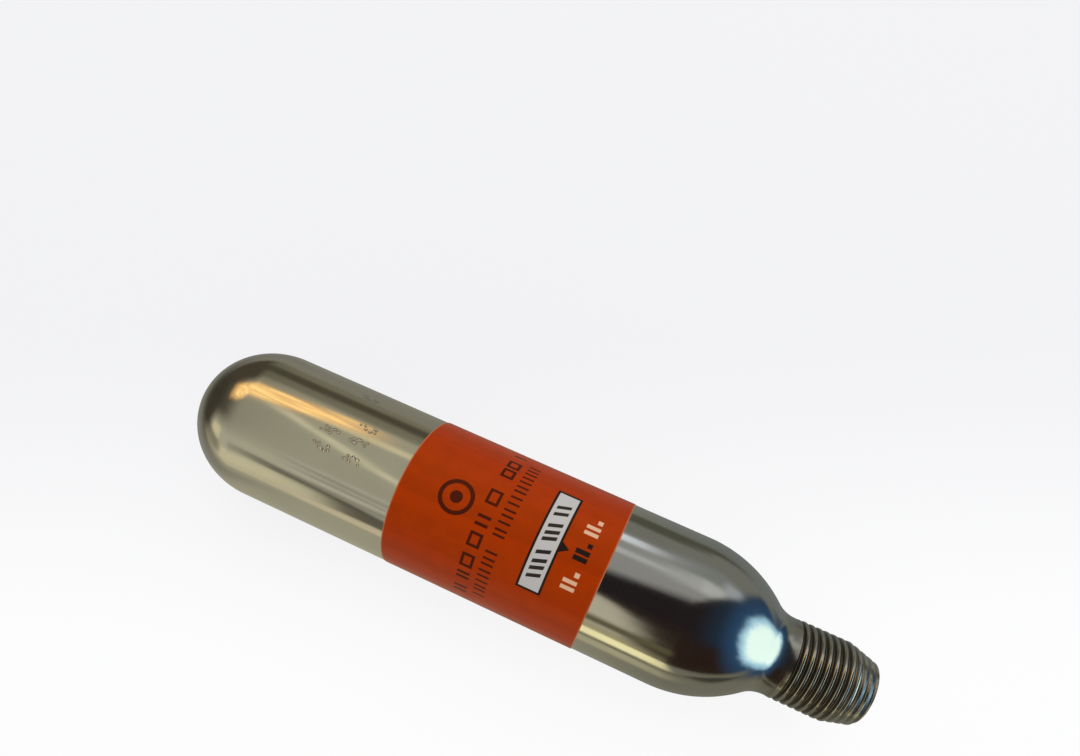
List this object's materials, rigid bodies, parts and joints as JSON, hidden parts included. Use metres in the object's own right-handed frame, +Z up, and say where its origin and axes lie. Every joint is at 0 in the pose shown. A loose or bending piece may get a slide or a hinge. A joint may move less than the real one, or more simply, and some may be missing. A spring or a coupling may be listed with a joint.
{
  "type": "threaded carbon dioxide cylinder",
  "caption": "Small steel gas cylinder with a round base, a wrapped label and a sealed, threaded neck, used to inflate a life jacket or airbag vest.",
  "frame": {"origin": "on the surface the cylinder lies on, under the middle of its length and of its width", "axes": "+X along the cylinder's axis, from the round base to the threaded neck; +Z up, square to the surface it lies on; +Y completes the right-handed frame"},
  "size_m": [0.139, 0.0302, 0.0302],
  "materials": {
    "plated_steel": "polished",
    "seal_steel": "satin",
    "label_film": "satin",
    "liquid_co2": "gloss"
  },
  "bodies": {
    "root": {"bottle": "plated_steel", "seal_cap": "seal_steel", "label": "label_film", "co2_charge": "liquid_co2"}
  },
  "joints": []
}
